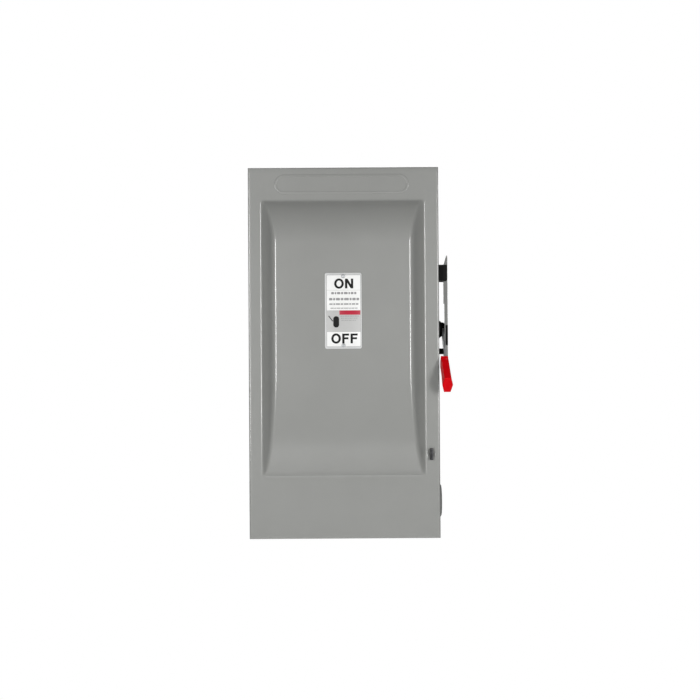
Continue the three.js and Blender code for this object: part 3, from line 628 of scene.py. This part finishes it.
def label():
    low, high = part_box("label_plate")
    x, centre_y, z = middle("label_plate")
    width, height, top = high.x - low.x, high.z - low.z, high.z
    plate = slab("label_backing", [rounded_rectangle(width, height, 4 * MM)], high.y - low.y, 0.3 * MM,
                 on_door(x, centre_y, z))
    finish_piece("label_backing", plate, LABEL_RIM, "door", ["label_plate"])

    field = rounded_rectangle(width - 6.4 * MM, height - 9 * MM, 1.2 * MM)
    outline = rounded_rectangle(width - 5.0 * MM, height - 7.6 * MM, 1.9 * MM)
    front = low.y
    x += 0.7 * MM  # the print sits a little to the right of its backing
    flat_print("label_outline", [outline, field], x, z, front, INK_GREY)
    flat_print("label_field", [field], x, z, front, LABEL_WHITE)

    front -= PRINT / 2
    for name, down, letters in LABEL_WORDS:
        outlines = []
        for letter, left, wide in letters:
            outlines += capital(letter, left * MM, wide * MM)
        flat_print(f"label_{name}", outlines, x, top - down * MM - LETTER_HEIGHT / 2, front, INK_BLACK)
    small_print(LABEL_LINES, x, top, front)
    inner = width - 6.6 * MM
    divider = rounded_rectangle(inner, 0.5 * MM, 0.2 * MM)
    flat_print("label_divider", [divider], x, top - 34.6 * MM, front, LABEL_GREY)
    panel = rounded_rectangle(inner, 43 * MM, 0.4 * MM)
    flat_print("label_panel", [panel], x, top - 96.2 * MM, front, LABEL_GREY)

    front -= PRINT / 2
    banner = rounded_rectangle(41.6 * MM, 8.6 * MM, 0.3 * MM)
    flat_print("label_banner", [banner], x + 12.4 * MM, top - 79.2 * MM, front, INK_RED)
    small_print(LABEL_NOTES, x, top, front)
    blob = rounded_rectangle(11.6 * MM, 22.6 * MM, 5.7 * MM)
    flat_print("label_mark", [blob], x - 15 * MM, top - 97.6 * MM, front, INK_BLACK)
    bar = [(-1.2 * MM, 0), (1.2 * MM, 0), (-7.6 * MM, 11 * MM), (-9.6 * MM, 11 * MM)]
    flat_print("label_mark_bar", [bar], x - 21.5 * MM, top - 96.5 * MM, front, INK_BLACK)


def rivets():
    dome = 1.5 * MM
    for name in ("label_rivet_upper", "label_rivet_lower"):
        low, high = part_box(name)
        x, _, z = middle(name)
        radius = (high.x - low.x) / 2
        angles = (math.radians(d) for d in range(2, 91, 8))
        profile = [(radius * math.sin(a), dome * math.cos(a)) for a in angles]
        profile += [(radius, -0.2 * MM), (radius * 0.4, -0.2 * MM), (radius * 0.4, -5 * MM)]
        mesh = turned(name, "y", (x, low.y + dome, z), profile)
        finish_piece(f"{name}_head", mesh, ZINC, "door", [name])


# ---- Handle and side fittings ---------------------------------------------------------------------

def lever_place(x, along=0.0, across=0.0):
    """A place on the lever at OFF: along it from the pivot, and across it."""
    cos, sin = math.cos(LEVER_ANGLE), math.sin(LEVER_ANGLE)
    return Vector((x, PIVOT.y - along * cos - across * sin, PIVOT.z - along * sin + across * cos))


def grip_section(t, shrink):
    """One six-sided section of the grip, where t runs from its inner end to its outer end."""
    along = GRIP_START + (GRIP_END - GRIP_START) * t
    x = (202 + 3.3 * t) * MM
    half = (7.8 + 3.0 * t) * MM - shrink
    flat = (7.3 - 0.6 * t) * MM - shrink
    tall = (15 + 4 * t) * MM - shrink
    corners = [(flat, tall), (-flat, tall), (-half, 0), (-flat, -tall), (flat, -tall), (half, 0)]
    return [lever_place(x + u, along, v) for u, v in corners]


def grip():
    """Six-sided moulded grip, thicker and further out at its end, with a shallow collar by the lever."""
    # Each section is its place along the grip, and how many millimetres it shrinks by.
    sections = [(0, 1.0), (0.014, 0), (0.10, 0), (0.115, 0.7), (0.135, 0.7), (0.15, 0), (0.5, 0), (0.984, 0),
                (1, 1.2)]
    mesh = skin("grip", [grip_section(t, shrink * MM) for t, shrink in sections])
    piece = finish_piece("moulded_grip", mesh, RED, "handle", ["handle_grip"], 30)
    bevel_edges(piece, 0.8 * MM, segments=3, angle=18).harden_normals = True
    piece.visible_diffuse = False  # or it tints the grey door beside it
    piece.visible_glossy = False


def lever():
    low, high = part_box("handle_lever")
    half = LEVER_HALF_WIDTH
    outline = arc((0, 0), half, -90, 90, 20) + arc((half - LEVER_LENGTH, 0), half, 90, 270, 20)
    holes = [ellipse((0, 0), SHAFT_BORE, SHAFT_BORE),
             ellipse((-PADLOCK_REACH, 0), PADLOCK_RADIUS, PADLOCK_RADIUS)]
    plate = slab("lever_plate", [outline] + holes, LEVER_THICKNESS, 0.5 * MM,
                 on_side(low.x + LEVER_THICKNESS / 2, PIVOT.y, PIVOT.z, LEVER_ANGLE))
    finish_piece("lever_plate", plate, ZINC, "handle", ["handle_lever"])
    reach = high.x - low.x
    seat, small_edge, large_edge = -0.05 * MM, 0.4 * MM, 2.2 * MM
    cap = turned("lever_cap", "x", (low.x, PIVOT.y, PIVOT.z),
                 [(SHAFT_BORE, seat), (CAP_RADIUS - small_edge, seat), (CAP_RADIUS, small_edge),
                  (CAP_RADIUS, reach - large_edge), (CAP_RADIUS - large_edge, reach), (SHAFT_BORE, reach)])
    finish_piece("lever_cap", cap, BLACK, "handle")


def rod(node, piece, chamfer, finish, body):
    """A turned rod with chamfered ends in place of a CAD rod that lies along X."""
    low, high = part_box(node)
    centre = middle(node)
    profile = rod_profile((high.y - low.y) / 2, high.x - low.x, chamfer)
    mesh = turned(piece, "x", (low.x, centre.y, centre.z), profile)
    finish_piece(piece, mesh, finish, body, [node])


def hub():
    low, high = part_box("handle_bearing")
    radius = (high.y - low.y) / 2
    length = high.x - low.x
    nose = 7.6 * MM  # the length of the part that narrows towards the lever
    profile = [(SHAFT_BORE, 0), (radius - 0.5 * MM, 0), (radius, 0.5 * MM), (radius, length - nose),
               (radius - 0.3 * MM, length - nose + 0.6 * MM), (15 * MM, length - 0.4 * MM),
               (14.4 * MM, length), (SHAFT_BORE, length)]
    mesh = turned("hub", "x", (low.x, PIVOT.y, PIVOT.z), profile)
    finish_piece("bearing_hub", mesh, BLACK, "enclosure", ["handle_bearing"])


def latch():
    low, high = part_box("latch_screw")
    tab = slab("latch_tab", [rounded_rectangle(LATCH_TAB_WIDTH, high.z - low.z, 1.5 * MM)], LATCH_TAB_HEIGHT,
               0.7 * MM, on_door(LATCH.x, low.y + LATCH_TAB_HEIGHT / 2, LATCH.z))
    finish_piece("latch_tab", tab, DARK_STEEL, "latch", ["latch_screw"])
    stem = turned("latch_stem", "y", (LATCH.x, DOOR_FRONT, LATCH.z),
                  [(LATCH_STEM_RADIUS - 0.6 * MM, 3.2 * MM), (LATCH_STEM_RADIUS, 2.6 * MM),
                   (LATCH_STEM_RADIUS, -18 * MM)])
    finish_piece("latch_stem", stem, DARK_STEEL, "latch")


# ---- Inside ---------------------------------------------------------------------------------------

def fuse(number):
    node = f"fuse_{number}"
    centre = middle(node)
    half, radius, cap = FUSE_HALF_LENGTH, FUSE_RADIUS, FUSE_CAP_LENGTH
    tube = turned(f"{node}_tube", "z", centre, [(radius, cap - half), (radius, half - cap)])
    finish_piece(f"{node}_tube", tube, TUBE, "enclosure", [node])
    depth, height, thickness = FUSE_BLADE
    for side, place in ((-1, "lower"), (1, "upper")):
        outer = radius + FUSE_CAP_STEP
        profile = [(radius - 1 * MM, side * (half - cap)), (outer, side * (half - cap)),
                   (outer, side * (half - 1.2 * MM)), (radius - 0.3 * MM, side * half), (3 * MM, side * half)]
        ring = turned(f"{node}_{place}_cap", "z", centre, profile)
        finish_piece(f"{node}_{place}_cap", ring, COPPER, "enclosure")
        outline = rounded_rectangle(depth, height, 3 * MM)
        tongue = slab(f"{node}_{place}_blade", [outline], thickness, 0.4 * MM,
                      on_side(centre.x, centre.y, centre.z + side * (half + 12 * MM)))
        finish_piece(f"{node}_{place}_blade", tongue, COPPER, "enclosure")


def set_screws():
    # From the bottom of the screw's socket, over its rim and down its side.
    profile = [(3 * MM, 0.4 * MM), (3.1 * MM, 2.4 * MM), (6.2 * MM, 2.4 * MM), (6.8 * MM, 1.8 * MM),
               (6.8 * MM, -3 * MM)]
    for number in (1, 2, 3):
        for node in (f"line_lug_{number}", f"load_lug_{number}"):
            x, _, z = middle(node)
            mesh = turned(f"{node}_screw", "y", (x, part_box(node)[0].y, z), profile)
            finish_piece(f"{node}_screw", mesh, ZINC, "enclosure")


def spring():
    low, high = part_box("operating_spring")
    wire = SPRING_WIRE
    radius = (high.y - low.y) / 2 - wire
    rows = []
    steps = SPRING_TURNS * 28
    for i in range(steps + 1):
        angle = math.tau * SPRING_TURNS * i / steps
        x = low.x + wire + (high.x - low.x - 2 * wire) * i / steps
        outward = Vector((0, math.cos(angle), math.sin(angle)))
        centre = Vector((x, PIVOT.y, PIVOT.z)) + outward * radius
        rows.append([centre + outward * (wire * math.cos(a)) + Vector((wire * math.sin(a), 0, 0))
                     for a in (math.tau * k / 10 for k in range(10))])
    coil = skin("spring_coil", rows)
    finish_piece("spring_coil", coil, ZINC, "enclosure", ["operating_spring"])


# ---- Everything ----------------------------------------------------------------------------------

door_skin()
door_band()
label()
rivets()
grip()
lever()
rod("handle_shaft", "shaft_bar", 1.2 * MM, ZINC, "handle")
hub()
rod("off_stop_pin", "off_stop", 0.8 * MM, BLACK, "enclosure")
rod("plate_spacer", "spacer_post", 0.8 * MM, BLACK, "enclosure")
latch()
for pole in (1, 2, 3):
    fuse(pole)
set_screws()
spring()

FINISHES = {
    "grey_paint": GREY_PAINT, "zinc_steel": ZINC, "black_plastic": BLACK, "red_grip": RED, "red_fibre": FIBRE,
    "black_phenolic": PHENOLIC, "clear_sheet": CLEAR, "aluminium": TIN, "copper": COPPER, "fuse_tube": TUBE,
    "label_face": LABEL_WHITE,
}
for entry in frame["record"]["subparts"]:
    dress(entry["node"], FINISHES[entry["material_slot"]])


# ---- Studio ---------------------------------------------------------------------------------------

FLOOR_HEIGHT = -0.98
FLOOR_MIDDLE = -0.6  # its Y
FLOOR_RADIUS = 1.35

# Soft lights: name, place, aim, width, height, watts, and whether glossy surfaces show them.
LIGHTS = [
    ("key_left", (-1.24, -2.42, 0.17), (0, -0.15, 0.02), 0.42, 0.95, 28.5, True),
    ("key_right", (1.24, -2.42, 0.17), (0, -0.15, 0.02), 0.42, 0.95, 28.5, True),
    ("front_panel", (0, -4.2, -0.5), (0, -0.15, 0), 3.0, 3.0, 15, False),
    ("back_panel", (0, 3.0, 1.2), (0, 0, 0), 2.6, 2.6, 80, True),
]

CAMERA_AIM = (0.0119, 0.0055)  # X and Z on the door's border
CAMERA_DISTANCE = 2.7  # from the door's border
CAMERA_TILT = math.radians(0.54)  # upwards
CAMERA_ROLL = math.radians(0.36)
VIEW_WIDTH = 1.4133  # how much of the door's plane the picture spans
SENSOR = 36  # millimetres


def floor_disc(name, height, finish):
    bpy.ops.mesh.primitive_circle_add(vertices=96, radius=FLOOR_RADIUS, fill_type="NGON",
                                      location=(0, FLOOR_MIDDLE, height))
    disc = bpy.context.object
    disc.name = name
    disc.data.materials.append(finish)
    return disc


def floor():
    """The camera sees a pale floor. The one under it does no more than return the light that falls on it."""
    floor_disc("studio_floor", FLOOR_HEIGHT, FLOOR).visible_camera = False
    seen = floor_disc("studio_floor_face", FLOOR_HEIGHT + 1 * MM, PALE_FLOOR)
    seen.visible_diffuse = False
    seen.visible_glossy = False
    seen.visible_transmission = False
    seen.visible_shadow = False


def backdrop():
    """White behind the object, and a faint cool fill on it."""
    world = bpy.data.worlds.new("studio")
    bpy.context.scene.world = world
    world.use_nodes = True
    nodes, links = world.node_tree.nodes, world.node_tree.links
    white = nodes["Background"]
    white.inputs["Color"].default_value = (1, 1, 1, 1)
    white.inputs["Strength"].default_value = 1.0
    fill = nodes.new("ShaderNodeBackground")
    fill.inputs["Color"].default_value = (0.95, 0.97, 1, 1)
    fill.inputs["Strength"].default_value = 0.10
    path = nodes.new("ShaderNodeLightPath")
    mix = nodes.new("ShaderNodeMixShader")
    links.new(path.outputs["Is Camera Ray"], mix.inputs["Fac"])
    links.new(fill.outputs["Background"], mix.inputs[1])
    links.new(white.outputs["Background"], mix.inputs[2])
    links.new(mix.outputs["Shader"], nodes["World Output"].inputs["Surface"])


def soft_light(name, place, aim, width, height, watts, shown_in_gloss):
    data = bpy.data.lights.new(name, "AREA")
    data.shape = "RECTANGLE"
    data.size = width
    data.size_y = height
    data.energy = watts
    lamp = bpy.data.objects.new(name, data)
    lamp.location = place
    lamp.rotation_euler = (Vector(aim) - Vector(place)).to_track_quat("-Z", "Y").to_euler()
    lamp.visible_glossy = shown_in_gloss
    bpy.context.scene.collection.objects.link(lamp)


def camera():
    data = bpy.data.cameras.new("camera")
    data.sensor_width = SENSOR
    data.lens = SENSOR * CAMERA_DISTANCE / VIEW_WIDTH
    data.clip_start = 0.05
    data.clip_end = 60
    holder = bpy.data.objects.new("camera", data)
    x, z = CAMERA_AIM
    holder.location = (x, DOOR_FRONT - CAMERA_DISTANCE, z - CAMERA_DISTANCE * math.tan(CAMERA_TILT))
    facing = Matrix.Rotation(math.radians(90) + CAMERA_TILT, 4, "X")
    roll = Matrix.Rotation(CAMERA_ROLL, 4, "Y")
    holder.rotation_euler = (roll @ facing).to_euler()
    bpy.context.scene.collection.objects.link(holder)
    bpy.context.scene.camera = holder


floor()
backdrop()
for light in LIGHTS:
    soft_light(*light)
camera()
bpy.context.scene.view_settings.view_transform = "Standard"
